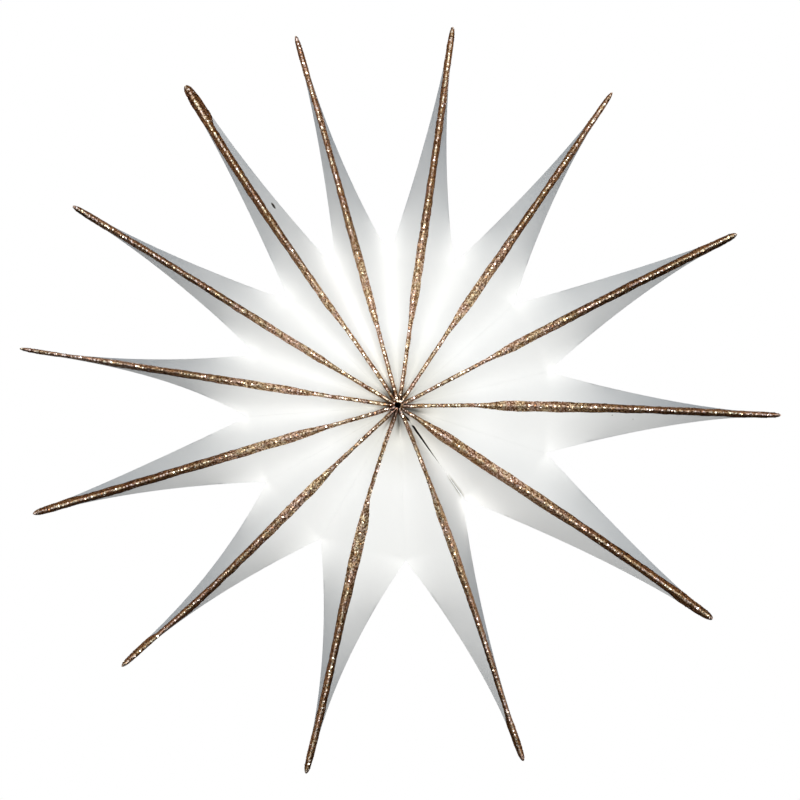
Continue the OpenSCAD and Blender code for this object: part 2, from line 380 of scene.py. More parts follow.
def to_star(i, r, x, h):
    """Turns places in a point's own directions into metres in the star's frame."""
    a = math.radians(AZIMUTH[i])
    x = x - LEAN[i] * (r / tip_r(i)) ** LEAN_POWER
    across = r * math.cos(a) + x * math.sin(a)
    up = r * math.sin(a) - x * math.cos(a)
    fade = 1 - smooth(np.hypot(across, up) / WANDER_R)
    out = (across - HUB_WANDER * np.sin(math.pi * h / POLE_H) * fade, -h, up)
    return np.stack([np.broadcast_to(part, x.shape) for part in out], -1) * MM


def around(places):
    """Corner and place of each column: front fold, clockwise side, back fold, anticlockwise side."""
    runs = [places, places[::-1], places, places[::-1]]
    return [(corner, place) for corner, run in zip(CORNERS, runs) for place in run[:-1]]


def grow(x, h, by, longest=LONGEST_MITRE):
    """Moves a closed outline, ring by ring, outwards by a distance along its mitred normals."""
    ahead = np.stack([np.roll(x, -1, 1) - x, np.roll(h, -1, 1) - h], -1)
    ahead /= np.maximum(np.linalg.norm(ahead, axis=-1, keepdims=True), TINY)
    normal = np.stack([-ahead[..., 1], ahead[..., 0]], -1)
    before = np.roll(normal, 1, 1)
    mitre = (normal + before) / np.maximum(1 + (normal * before).sum(-1, keepdims=True), LEAST_TURN)
    mitre /= np.maximum(np.linalg.norm(mitre, axis=-1, keepdims=True) / longest, 1)
    return x + by * mitre[..., 0], h + by * mitre[..., 1]


def grid_faces(rings, columns, first=0, flip=False):
    """Triangles of a tube of rings, each closed on itself."""
    a = first + np.arange((rings - 1) * columns).reshape(rings - 1, columns)
    b = np.roll(a, -1, 1)
    quads = np.stack([a, a + columns, b + columns, b], -1).reshape(-1, 4)
    faces = np.concatenate([quads[:, [0, 1, 2]], quads[:, [0, 2, 3]]])
    return faces[:, ::-1] if flip else faces


def cap_faces(ring_start, columns, apex, flip=False):
    """Closes the last ring with a fan of triangles to one point."""
    a = ring_start + np.arange(columns)
    faces = np.stack([a, np.full(columns, apex), np.roll(a, -1)], -1)
    return faces[:, ::-1] if flip else faces


def rim_faces(outer_start, inner_start, columns, flip=False):
    """Joins a ring of the outer skin to the same ring of the inner skin."""
    a = outer_start + np.arange(columns)
    c = inner_start + np.arange(columns)
    b, d = np.roll(a, -1), np.roll(c, -1)
    faces = np.concatenate([np.stack([a, b, d], -1), np.stack([a, d, c], -1)])
    return faces[:, ::-1] if flip else faces


def end_faces(columns, first=0, flip=False):
    """Closes the first ring straight across, from each side to the same depth on the other."""
    a = np.arange(columns // 2)
    b = a + 1
    c, d = (columns - b) % columns, (columns - a) % columns
    faces = first + np.concatenate([np.stack([a, b, c], -1)[:-1], np.stack([a, c, d], -1)[1:]])
    return faces[:, ::-1] if flip else faces


def make_piece(name, points, faces, sharp):
    """A smooth-shaded mesh object whose edges over an angle stay sharp."""
    mesh = bpy.data.meshes.new(name)
    mesh.from_pydata(points.tolist(), [], faces.tolist())
    mesh.shade_smooth()
    mesh.set_sharp_from_angle(angle=math.radians(sharp))
    piece = bpy.data.objects.new(name, mesh)
    bpy.context.scene.collection.objects.link(piece)
    return piece


# %% [markdown]
# Some looks belong to a place on the piece, such as the brown glue at the hub. They are
# worked out with the mesh and travel on it as a number at each point, which a material
# can read by name.

# %% Numbers on a mesh
def set_number(piece, name, values):
    """Stores one number at each point of a mesh."""
    layer = piece.data.attributes.new(name, "FLOAT", "POINT")
    layer.data.foreach_set("value", np.asarray(values, np.float32))


# %% [markdown]
# The rings stand closer together near the hub and round the two notches, where the shape turns quickly. The
# number "dark" marks where the paper is darkened: brown glue at the hub, a painted shade round it, grey
# streaks of painted shadow beside the valleys and along the lips of the seam, and the walls inside the seam,
# painted near black as the shade that hardly any light reaches.

# %% The paper points
FACE_COLUMNS = 12
SIDE_COLUMNS = 5
NOSE_L = 9
NOSE_T = 2.5
INNER_NOSE_T = 3 * PAPER_T
RING_STOPS = [HUB_R, SEAM_WIDE_R, TOUCH_TO + 3, SEAM_SHUT_R, SEAM_NOTCH_R, NOTCH_R, NOTCH_R + 30]
RINGS_BETWEEN = [13, 8, 14, 11, 15, 14, 30]
FOLD_ANGLE = 32
GLUE_FROM = 2.8
GLUE_FADE = 3.5
HUB_SHADE = 0.28
HUB_SHADE_FROM = 8
HUB_SHADE_FADE = 60
STREAK_FROM = 5
STREAK_FADE = 8
STREAK_L = 24
STREAK_AT = 0.82
STREAK_W = 0.45
STREAK_OTHER_SIDE = 0.4
STREAK_LEAST_L = 0.5
STREAK_OF = [0.2, 0.3, 0.3, 0.35, 0.5, 0, 0.55, 0.45, 0.15, 0.2, 0.4, 0.45, 0.5]
STREAK_BEYOND = (6, 7)
SEAM_LINE = 0.5
SEAM_LINE_FROM = 62


def ring_radii(i):
    """Radii of the rings, evenly spread between one stop and the next."""
    stops = [*RING_STOPS, tip_r(i) - NOSE_L]
    runs = [np.linspace(*run) for run in zip(stops, stops[1:], RINGS_BETWEEN)]
    return np.unique(np.concatenate(runs))


def outline(i, r, columns):
    """The outline of every ring: columns holds a corner and its places along the quarter."""
    sides = [surface(i, corner, r, place) for corner, place in columns]
    return np.stack([x for x, h in sides], 1), np.stack([h for x, h in sides], 1)


def streak(i, side, r, place):
    """Painted shadow beside a valley, mostly on its anticlockwise side, but beyond it in two valleys."""
    valley = valley_of(i, side)
    main = (side < 0) == (valley in STREAK_BEYOND)
    strength = STREAK_OF[valley] * (1 if main else STREAK_OTHER_SIDE)
    reach = STREAK_L * (STREAK_LEAST_L + STREAK_OF[valley])
    near = clamp(1 - abs(min(place / FACE_END, 1) - STREAK_AT) / STREAK_W)
    there = smooth((r - STREAK_FROM) / STREAK_FADE) * (1 - smooth((r - STREAK_FROM) / reach))
    return strength * near * there


def seam_line(i, side, r, place):
    """Painted shadow along the edge of the seam's lips, a little short of its notch."""
    there = smooth((r - SEAM_LINE_FROM) / SEAM_FADE) * (1 - smooth((r - SEAM_NOTCH_R) / SEAM_FADE + 1))
    return SEAM_LINE * there * (at_seam(i, side) and place == FACE_END)


def darkness(i, r, columns):
    """How dark the paper is at each point of the grid."""
    glue = 1 - smooth((r - GLUE_FROM) / GLUE_FADE)
    # A painted shade, slightly warm, darkens the paper towards the hub.
    hub_shade = HUB_SHADE * (1 - smooth((r - HUB_SHADE_FROM) / HUB_SHADE_FADE))
    # The walls inside the seam are painted near black, as the shade that hardly any light reaches.
    inside = 1 - smooth((r - SEAM_NOTCH_R + SEAM_FADE) / SEAM_FADE)
    walls, marks = [], []
    for (side, face), place in columns:
        walls.append(inside * (at_seam(i, side) and place > FACE_END))
        marks.append(streak(i, side, r, place) + seam_line(i, side, r, place))
    darkening = hub_shade[:, None] + np.stack(marks, 1)
    return np.maximum(np.maximum(glue[:, None], darkening), np.stack(walls, 1))


def paper_point(i):
    """One hollow cell of paper, as one object."""
    face = np.linspace(0, FACE_END, FACE_COLUMNS + 1)
    side = np.linspace(FACE_END, 1, SIDE_COLUMNS + 1)[1:]
    columns = around(np.concatenate([face, [FACE_END + LIP_T / 2], side]))
    r = ring_radii(i)
    x, h = outline(i, r, columns)
    size = x.size
    count = x.shape[1]
    inner = grow(x, h, -PAPER_T)
    inner_r = np.maximum(r, HUB_R + PAPER_T)
    skins = [to_star(i, reach[:, None], *skin) for reach, skin in ((r, (x, h)), (inner_r, inner))]
    skins = [skin.reshape(-1, 3) for skin in skins]
    end = np.array([tip_r(i) - NOSE_T])
    apexes = [to_star(i, end - back, fold_x(i, end), np.zeros(1)) for back in (0, INNER_NOSE_T)]
    faces = np.concatenate([
        grid_faces(len(r), count),
        grid_faces(len(r), count, size, True),
        cap_faces(size - count, count, 2 * size),
        cap_faces(2 * size - count, count, 2 * size + 1, True),
        end_faces(count),
        end_faces(count, size, True),
    ])
    piece = make_piece(f"paper_point_{i + 1:02d}", np.concatenate([*skins, *apexes]), faces, FOLD_ANGLE)
    dark = darkness(i, r, columns).ravel()
    set_number(piece, "dark", np.concatenate([dark, dark, [0, 0]]))
    return piece


papers = [paper_point(i) for i in range(POINTS)]
print("paper:", sum(len(piece.data.polygons) for piece in papers), "triangles")

# %% [markdown]
# The glitter lies along the front fold and the back fold in a bed of glue, runs round
# the tip as a sleeve, and so is one piece on each point. The bed follows the paper
# under it. It is a rounded bead over the fold and thin at its edges, and the edges are
# ragged because the glue was spread by hand. A band starts narrow at the hub, swells on
# its way out to the notches, and slims a little towards the sleeve, which covers the
# sides. No two bands are alike. The lists hold, for each point, how far from the hub its
# band starts, how far its narrow part lies off the fold, where it swells, and its half
# width on either side, first at its fullest and then far out. Around the lower half of
# the hub the bands reach over the rim of the hole, which makes the hole look smaller.

# %% Width of the glitter
COAT_T = 0.5
COAT_EDGE_T = 0.15
COAT_SEAT = 0.03
COAT_INNER_W = 1.45
COAT_SHARE = 0.8
SLEEVE_L = 30
CLOSING_L = 10
START_R = [3.4, 3.3, 2.7, 2, 1.7, 1.4, 1.4, 1.5, 1.9, 3, 3.6, 3.7, 3.5]
INNER_SHIFT = [0, 0.5, 0, 0.2, 0, 0, -0.4, 1, 0, -0.4, 0, -0.4, 0.4]
RISE_R = [74, 76, 81, 90, 73, 30, 77, 87, 79, 68, 75, 63, 85]
RISE_L = 30
FULL_CCW = [3, 2.8, 3.3, 3.1, 3.5, 4.2, 2.8, 5, 4.2, 4.2, 3.1, 3.1, 3.2]
FULL_CW = [3.2, 3.9, 4.1, 3.8, 4.5, 4.5, 3.2, 3.7, 3.1, 3, 2.9, 2.5, 2.2]
END_CCW = [1.9, 2.4, 2.3, 3.1, 2.6, 3.5, 2.3, 2.8, 3.3, 3.4, 3, 2.6, 3.8]
END_CW = [2.6, 2.9, 3, 3.3, 3, 3.3, 2.2, 3.1, 2.2, 3.1, 2.1, 2.2, 2.7]
FULL_R = 120
END_L = 80
RAGGED = 0.13
WIDTH_SWING = 0.04
SWING_L = (20, 60)
LEAST_W = 0.5


def glitter_w(i, side, r):
    """Half width of a band on one side of its fold."""
    full, last = (FULL_CW[i], END_CW[i]) if side > 0 else (FULL_CCW[i], END_CCW[i])
    inner = COAT_INNER_W + side * INNER_SHIFT[i] * smooth(r / RISE_L)
    grown = smooth((r - RISE_R[i]) / RISE_L + 0.5)
    return inner + (full - inner) * grown + (last - full) * smooth((r - FULL_R) / END_L)


def ragged_w(i, side, r, rng):
    """The glitter's half width on one side of one fold, as it was spread."""
    length, start = rng.uniform(*SWING_L), rng.uniform(0, 2 * math.pi)
    jitter = rng.normal(0, 1, len(r))
    jitter = (jitter + np.roll(jitter, 1)) / 2
    swing = 1 + WIDTH_SWING * np.sin(2 * math.pi * r / length + start)
    return np.maximum(glitter_w(i, side, r) * swing + RAGGED * jitter, LEAST_W)


PROBES = np.linspace(0, 1, 60)


def edge_place(i, corner, r, width):
    """Where along the quarter a ring reaches that far sideways from the fold."""
    x = np.stack([surface(i, corner, r, t)[0] for t in PROBES], 1)
    away = np.abs(x - fold_x(i, r)[:, None])
    closing = smooth((r - tip_r(i) + SLEEVE_L + CLOSING_L) / CLOSING_L)
    width = np.minimum(width, COAT_SHARE * away[:, -1])
    width = width + (away[:, -1] - width) * closing
    return np.array([np.interp(w, a, PROBES) for w, a in zip(width, away)])


print("widest half band:", [round(float(glitter_w(i, 1, FULL_R)), 1) for i in range(POINTS)])

# %% [markdown]
# The bed is a grid of rings too, with its columns shared out between the bands and the
# bare paper. Below the sleeve only the strips of the two bands are kept. The bed has an
# outer and an inner skin like the paper, and strips of triangles close it where the
# bands end, beside the hub and along their edges.

# %% The glitter bed
RING_STEP = 1.5
SLEEVE_RINGS = 20
NOSE_RINGS = 6
BAND_COLUMNS = 4
BARE_COLUMNS = 4
BED_MITRE = 1.2
TIP_NEAR = 0.5


def coat_radii(i):
    """Radii of the rings, and how much the outline has shrunk at each, for a blunt round nose."""
    sleeve, nose = tip_r(i) - SLEEVE_L, tip_r(i) - NOSE_L
    bands = np.linspace(START_R[i], sleeve, round((sleeve - START_R[i]) / RING_STEP))
    sleeves = np.linspace(sleeve, nose, SLEEVE_RINGS)[1:]
    turn = np.linspace(0, math.pi / 2, NOSE_RINGS + 2)[1:-1]
    radii = np.concatenate([bands, sleeves, nose + NOSE_L * np.sin(turn)])
    shrink = np.concatenate([np.ones(len(bands) + len(sleeves)), np.cos(turn)])
    return radii, shrink, len(bands) - 1


def side_faces(column, rings, count, size, flip):
    """Closes the side of a band, along one column, from the hub to the sleeve."""
    a = np.arange(rings) * count + column
    b = a + count
    faces = np.concatenate([np.stack([a, b, b + size], -1), np.stack([a, b + size, a + size], -1)])
    return faces[:, ::-1] if flip else faces


def bed_points(i, columns, crest):
    """The outer skin, the inner skin and the tip of each, in the star's frame."""
    r, shrink, sleeve = coat_radii(i)
    x, h = outline(i, np.minimum(r, tip_r(i) - NOSE_L), columns)
    x, h = grow(x, h, COAT_SEAT)
    side_t = COAT_EDGE_T + (COAT_T - COAT_EDGE_T) * clamp((r - r[sleeve]) / (SLEEVE_L - NOSE_L))
    thick = side_t[:, None] + (COAT_T - side_t[:, None]) * (1 - (1 - crest) ** 2)
    outer = grow(x, h, thick, BED_MITRE)
    middle = fold_x(i, r)[:, None]
    skins = []
    for reach, (px, ph) in ((r, outer), (np.minimum(r, tip_r(i) - NOSE_T), (x, h))):
        px = middle + (px - middle) * shrink[:, None]
        skins.append(to_star(i, reach[:, None], px, ph * shrink[:, None]).reshape(-1, 3))
    ends = (tip_r(i), tip_r(i) - NOSE_T + COAT_SEAT)
    tips = [to_star(i, np.array([end]), middle[-1], np.zeros(1)) for end in ends]
    return np.concatenate([*skins, *tips])


def bed_faces(rings, sleeve, crest):
    """Triangles of the closed bed, and of its outer skin alone."""
    count = len(crest)
    size = rings * count
    band = np.maximum(crest, np.roll(crest, -1)) > 0
    cells = (np.arange(rings - 1)[:, None] >= sleeve) | band[None, :]
    skin = grid_faces(rings, count)[np.tile(cells.ravel(), 2)]
    cap = cap_faces(size - count, count, 2 * size)
    inner_cap = cap_faces(2 * size - count, count, 2 * size + 1, True)
    hub_end = rim_faces(0, size, count)[np.tile(band, 2)]
    sleeve_end = rim_faces(sleeve * count, (sleeve + rings) * count, count)[np.tile(~band, 2)]
    starts = np.flatnonzero(band & ~np.roll(band, 1))
    stops = np.flatnonzero(~band & np.roll(band, 1))
    sides = [side_faces(column, sleeve, count, size, False) for column in stops]
    sides += [side_faces(column, sleeve, count, size, True) for column in starts]
    faces = [skin, skin[:, ::-1] + size, cap, inner_cap, hub_end, sleeve_end, *sides]
    return np.concatenate(faces), np.concatenate([skin, cap])


def coat_bed(i, rng):
    """The bed of one point: points, triangles, outer triangles, nearness to the fold, and columns."""
    r, shrink, sleeve = coat_radii(i)
    bare = np.linspace(1, 2, BARE_COLUMNS + 1)
    places = around(np.concatenate([np.linspace(0, 1, BAND_COLUMNS + 1), bare[1:]]))
    edges = {corner: edge_place(i, corner, r, ragged_w(i, corner[0], r, rng)) for corner in CORNERS}
    columns = []
    for corner, place in places:
        edge = edges[corner]
        columns.append((corner, edge * min(place, 1) + (1 - edge) * max(place - 1, 0)))
    crest = np.array([clamp(1 - place) for corner, place in places])
    faces, outer = bed_faces(len(r), sleeve, crest)
    near = np.concatenate([np.tile(crest, 2 * len(r)), [TIP_NEAR, TIP_NEAR]])
    return bed_points(i, columns, crest), faces, outer, near, len(crest)


# %% [markdown]
# Glitter is a crowd of small hexagonal plates, pressed into the glue at every angle.
# Each one here is a flat hexagon on a short point that sits in the bed.

# %% The flakes
FLAKE_R = (0.35, 0.62)
FLAKE_TILT = 0.3
FLAKE_LIFT = (0.02, 0.2)
FLAKE_ROOT = 0.25
SIDES = 6


def pick_places(points, triangles, near, count, rng):
    """Places spread evenly over the triangles, with their normals and how near each is to the fold."""
    a, b, c = (points[triangles[:, k]] for k in range(3))
    cross = np.cross(b - a, c - a)
    area = np.linalg.norm(cross, axis=1)
    picked = rng.choice(len(triangles), count, p=area / area.sum())
    u, v = rng.random((2, count))
    swap = u + v > 1
    u, v = np.where(swap, 1 - u, u), np.where(swap, 1 - v, v)
    weights = np.stack([1 - u - v, u, v], -1)
    places = (weights[:, :, None] * points[triangles[picked]]).sum(1)
    return places, cross[picked] / area[picked, None], (weights * near[triangles[picked]]).sum(1)


def unit(vectors):
    """Vectors of the same directions, one long."""
    return vectors / np.linalg.norm(vectors, axis=-1, keepdims=True)


def flakes(places, normals, sizes, rng):
    """Points and triangles of one small plate at each place. Sizes are radii in millimetres."""
    count = len(places)
    normals = unit(normals + FLAKE_TILT * rng.normal(0, 1, (count, 3)))
    along = unit(np.cross(normals, rng.normal(0, 1, (count, 3))))
    across = np.cross(normals, along)
    lift = rng.uniform(*FLAKE_LIFT, count) * MM
    turns = 2 * math.pi * np.arange(SIDES) / SIDES
    spokes = along[:, None] * np.cos(turns)[:, None] + across[:, None] * np.sin(turns)[:, None]
    rim = (places + normals * lift[:, None])[:, None] + spokes * sizes[:, None, None] * MM
    root = (places - normals * FLAKE_ROOT * MM)[:, None]
    points = np.concatenate([rim, root], 1).reshape(-1, 3)
    top = [(0, k, k + 1) for k in range(1, SIDES - 1)]
    edge = [(k, SIDES, (k + 1) % SIDES) for k in range(SIDES)]
    shape = np.array(top + edge)
    faces = (np.arange(count)[:, None, None] * (SIDES + 1) + shape).reshape(-1, 3)
    return points, faces


# %% [markdown]
# Materials are written as sums. One small class wraps an output socket, and arithmetic
# on it adds Math nodes. Every other node comes from its one method.

# %% Shader sums
class Wire:
    """An output socket of a shader node."""

    def __init__(self, tree, socket):
        self.tree = tree
        self.socket = socket

    @classmethod
    def node(cls, tree, kind, settings=None, values=None, out=0):
        """Adds a node: first its settings, then a value or a wire for each socket in values."""
        made = tree.nodes.new("ShaderNode" + kind)
        for name, value in (settings or {}).items():
            if name == "stops":
                set_stops(made.color_ramp, value)
            else:
                setattr(made, name, value)
        for name, value in (values or {}).items():
            if isinstance(value, cls):
                tree.links.new(value.socket, made.inputs[name])
            else:
                made.inputs[name].default_value = value
        return cls(tree, made.outputs[out]) if made.outputs else made

    def math(self, operation, *values):
        return self.node(self.tree, "Math", {"operation": operation}, dict(enumerate(values)))

    def __add__(self, other):
        return self.math("ADD", self, other)

    def __sub__(self, other):
        return self.math("SUBTRACT", self, other)

    def __rsub__(self, other):
        return self.math("SUBTRACT", other, self)

    def __mul__(self, other):
        return self.math("MULTIPLY", self, other)

    __radd__ = __add__
    __rmul__ = __mul__

    def clamped(self):
        return self.math("MINIMUM", self.math("MAXIMUM", self, 0.0), 1.0)


def set_stops(ramp, stops):
    while len(ramp.elements) < len(stops):
        ramp.elements.new(1)
    for element, (place, color) in zip(ramp.elements, stops):
        element.position = place
        element.color = (*color, 1)


def start_material(name):
    """An empty material, its node tree and the place on the object."""
    material = bpy.data.materials.new(name)
    material.use_nodes = True
    material.node_tree.nodes.clear()
    tree = material.node_tree
    place = Wire.node(tree, "TexCoord", out="Object")
    return material, tree, place


def blend_colors(factor, first, second, how="MIX"):
    """A colour Mix node. Its colour sockets are numbers 6 and 7, and its colour output is number 2."""
    tree = next(part.tree for part in (factor, first, second) if isinstance(part, Wire))
    settings = {"data_type": "RGBA", "blend_type": how}
    return Wire.node(tree, "Mix", settings, {0: factor, 6: first, 7: second}, 2)


# %% [markdown]
# A band of glitter isn't one even brown: its grain is a random mix of tan and brown. Light and shade are
# painted over that grain: a painted highlight of light plates along the crest, which faces the lamps, and
# painted shade on the flanks, which stand steeper towards the tips and are painted much darker there, with
# nearly black edges. One sum gives the shade from the place across the band, a random grain and the distance
# from the hub, which changes the flanks and the crest twice: on the way to the notches, the middle, and far
# beyond them. It works on arrays here, and later on a material's wires.

# %% Shades across a band
EDGE_SHARP = 3.6
CREST_FROM = 0.74
CREST_SHARP = 6.0
MID_FROM = 0.06
MID_L = 0.04
FAR_FROM = 0.12
FAR_L = 0.09
GRAIN_STEP = 1.7
GRAIN_RANGE = 0.42
FLANK = 0.22
FLANK_MIDDLE = 0.12
FLANK_FAR = -0.34
CREST = 0.24
CREST_MIDDLE = -0.14
CREST_FAR = 0.34


def limit(value):
    """Keeps an array or a wire between 0 and 1."""
    return value.clamped() if isinstance(value, Wire) else clamp(value)


def band_shade(near, grain, reach):
    """The shade, from 0 to 1, with a painted highlight on the crest and painted shade on the flanks and
    edges. The distance from the hub is in metres.
    """
    inside = limit(near * EDGE_SHARP)
    crest = limit((near - CREST_FROM) * CREST_SHARP)
    middle = limit((reach - MID_FROM) * (1 / MID_L))
    far = limit((reach - FAR_FROM) * (1 / FAR_L))
    grain = limit(grain * GRAIN_STEP + (1 - GRAIN_STEP) / 2)
    # The flanks carry painted shade, darker far out and near black at the edges; the crest adds a painted
    # highlight.
    flank = grain * GRAIN_RANGE + FLANK + middle * FLANK_MIDDLE + far * FLANK_FAR
    bright = CREST + middle * CREST_MIDDLE + far * CREST_FAR
    return limit(flank * (1 - far * (1 - inside)) + crest * bright)


print("crest shades, near and far:", [round(float(band_shade(1, 0.5, reach)), 2) for reach in (0.03, 0.25)])

# %% [markdown]
# Each coat gets its own crowd of plates. Those near the crest are larger, a few anywhere are painted nearly
# white as glints, and the blunt nose is a jumble of light and dark ones. A chain of bigger chips lies flat
# along the very crest, most of them pale as a painted highlight, with dark ones between.

# %% The glitter coats
FLAKES = 2100
CREST_SIZE = 1.4
SPARKLES = 0.05
NOSE_LIGHTS = 0.6
CHIPS = 280
CHIP_R = (0.4, 0.72)
CHIP_SIDEWAYS = 0.22
CHIP_LIGHTS = 0.74
CHIP_PALE = 0.7
CHIP_DARK = 0.42
CHIP_RANGE = 0.09
FAR_PALE = 0.21
FAR_DARK = 0.18
HUB_PALE = 0.14
LAST_STEP = 1.01
SEED_STEP = 100


def crest_chips(points, columns, rings, rng):
    """Places, normals, sizes and shades of the chips along the front crest and the back crest."""
    grid = points[:columns * rings].reshape(rings, columns, 3)
    places, normals = [], []
    for column, facing in ((0, -1), (columns // 2, 1)):
        u = rng.uniform(0, rings - LAST_STEP, CHIPS)
        ring = u.astype(int)
        part = (u - ring)[:, None]
        line = grid[ring, column] * (1 - part) + grid[ring + 1, column] * part
        along = unit(grid[ring + 1, column] - grid[ring, column])
        sideways = np.cross(along, (0, facing, 0))
        places.append(line + sideways * rng.normal(0, CHIP_SIDEWAYS * MM, (CHIPS, 1)))
        normals.append(unit(np.cross(sideways, along)))
    places = np.concatenate(places)
    reach = np.hypot(places[:, 0], places[:, 2])
    far = clamp((reach - FAR_FROM) / FAR_L)
    hub = 1 - clamp((reach - MID_FROM) / MID_L)
    # Most chips are pale, a painted highlight along the crest; far out the pale ones are paler and the dark
    # ones darker.
    pale = rng.random(2 * CHIPS) < CHIP_LIGHTS
    shades = np.where(pale, CHIP_PALE + FAR_PALE * far + HUB_PALE * hub, CHIP_DARK - FAR_DARK * far)
    shades = clamp(shades + CHIP_RANGE * rng.uniform(-1, 1, 2 * CHIPS) * (1 + far))
    return places, np.concatenate(normals), rng.uniform(*CHIP_R, 2 * CHIPS), shades


def glitter_coat(i):
    """The bed of one point with all its plates and chips, as one object."""
    rng = np.random.default_rng(SEED * SEED_STEP + i)
    points, faces, outer, near, columns = coat_bed(i, rng)
    places, normals, crest = pick_places(points, outer, near, FLAKES, rng)
    sizes = rng.uniform(*FLAKE_R, FLAKES) * (1 + (CREST_SIZE - 1) * (crest > CREST_FROM))
    reach = np.hypot(places[:, 0], places[:, 2])
    shade = band_shade(crest, rng.random(FLAKES), reach)
    # A few plates anywhere are painted nearly white as glints.
    lights = np.where(reach > (tip_r(i) - NOSE_L / 2) * MM, NOSE_LIGHTS, SPARKLES)
    shade = np.where(rng.random(FLAKES) < lights, 1, shade)
    rings = (len(points) - 2) // (2 * columns)
    chips = crest_chips(points, columns, rings, rng)
    both_kinds = zip((places, normals, sizes, shade), chips)
    places, normals, sizes, shade = (np.concatenate(pair) for pair in both_kinds)
    flake_points, flake_faces = flakes(places, normals, sizes, rng)
    used = np.unique(faces)
    renumber = np.zeros(len(points), int)
    renumber[used] = np.arange(len(used))
    every = np.concatenate([points[used], flake_points])
    triangles = np.concatenate([renumber[faces], flake_faces + len(used)])
    piece = make_piece(f"glitter_coat_{i + 1:02d}", every, triangles, FOLD_ANGLE)
    set_number(piece, "tone", np.concatenate([near[used], np.repeat(shade, SIDES + 1)]))
    set_number(piece, "flake", np.concatenate([np.zeros(len(used)), np.ones(len(flake_points))]))
    return piece


coats = [glitter_coat(i) for i in range(POINTS)]
print("glitter:", sum(len(piece.data.polygons) for piece in coats), "triangles")

# %% [markdown]
# The paper is smooth, white and matt, with a fine tooth that only shows as a softness and slow clouds where
# it took up a little glue. The number "dark" runs down a ramp, from clean paper through a warm painted shade
# and a grey painted shadow to the dark brown of old glue, which is also the colour of the painted shade
# inside the seam. A small nick in the last point and two crumbs of glitter beside the fifth are ovals added
# to that number.
# Each line of the list is one oval: the point's number from 0, its distance from the hub
# and from the fold, its half length and half width, and how dark it is.

# %% Paper
PAPER_WHITE = (0.94, 0.938, 0.922, 1)
PAPER_CLOUD = (0.915, 0.915, 0.9, 1)
CLOUD_SCALE = 30.0
TOOTH_SCALE = 1400.0
SPOT_EDGE = 2
FRONT = (0, -1, 0)
FRONT_EDGE = 1000
DOT = {"operation": "DOT_PRODUCT"}
SPOTS = [
    (12, 187.1, 5.9, 3.2, 0.95, 1.0),
    (4, 168.4, 3.4, 0.7, 0.5, 0.4),
    (4, 185.2, 6.2, 0.6, 0.4, 0.35),
]
DARKENING_STOPS = [
    (0.0, (1.0, 1.0, 1.0)),
    (0.2, (0.82, 0.81, 0.775)),
    (0.55, (0.33, 0.32, 0.3)),
    (0.8, (0.08, 0.06, 0.045)),
    (1.0, (0.02, 0.012, 0.008)),
]


def spot(tree, place, i, r, x, long, wide):
    """A mark on the front of one point: 1 in its middle and 0 outside its oval."""
    a = math.radians(AZIMUTH[i])
    out, across = (math.cos(a), 0, math.sin(a)), (math.sin(a), 0, -math.cos(a))
    total = 0
    for direction, center, size in ((out, r, long), (across, x, wide)):
        along = Wire.node(tree, "VectorMath", DOT, {0: place, 1: direction}, "Value")
        offset = along * (1 / (size * MM)) - center / size
        total = offset * offset + total
    front = Wire.node(tree, "VectorMath", DOT, {0: place, 1: FRONT}, "Value")
    return ((1 - total) * SPOT_EDGE).clamped() * (front * FRONT_EDGE).clamped()


def paper_material():
    material, tree, place = start_material("paper")
    clouds = Wire.node(tree, "TexNoise", values={"Vector": place, "Scale": CLOUD_SCALE, "Detail": 3.0})
    tooth = Wire.node(tree, "TexNoise", values={"Vector": place, "Scale": TOOTH_SCALE, "Detail": 4.0})
    dark = Wire.node(tree, "Attribute", {"attribute_name": "dark"}, out="Fac")
    for *oval, strength in SPOTS:
        dark = (dark + spot(tree, place, *oval) * strength).clamped()
    color = blend_colors(clouds, PAPER_WHITE, PAPER_CLOUD)
    # The ramp gives glue its brown, and gives the painted shade and shadow their colour.
    darkening = Wire.node(tree, "ValToRGB", {"stops": DARKENING_STOPS}, {"Fac": dark})
    color = blend_colors(1.0, color, darkening, "MULTIPLY")
    bump = Wire.node(tree, "Bump", values={"Strength": 0.08, "Distance": 0.05 * MM, "Height": tooth})
    shader = Wire.node(tree, "BsdfPrincipled", values={
        "Base Color": color, "Roughness": 0.8, "Specular IOR Level": 0.25, "Normal": bump})
    Wire.node(tree, "OutputMaterial", values={"Surface": shader})
    return material


# %% [markdown]
# Between the modelled plates the bed is full of smaller ones. A Voronoi pattern cuts it
# into cells, and each cell's random colour gives it a grain and a tilt of its own. The
# ramp runs from the dark brown of shaded copper to the pale pink of a plate that catches
# the light. Slow patches lean to gold or to rose, as mixed glitter does.

# %% Glitter
GRAIN = 1.05
BED_TILT = 0.7
PATCH_SCALE = 110.0
PATCH_CONTRAST = 4
GLITTER_STOPS = [
    (0.0, (0.008, 0.004, 0.002)),
    (0.18, (0.04, 0.017, 0.007)),
    (0.38, (0.185, 0.095, 0.048)),
    (0.56, (0.42, 0.275, 0.17)),
    (0.72, (0.78, 0.61, 0.45)),
    (0.86, (1.0, 0.93, 0.85)),
    (1.0, (1.0, 1.0, 0.98)),
]
PATCH_GOLD = (1.0, 0.97, 0.8, 1)
PATCH_ROSE = (1.0, 0.88, 0.88, 1)
EDGE_TINT = (0.75, 0.5, 0.35, 1)


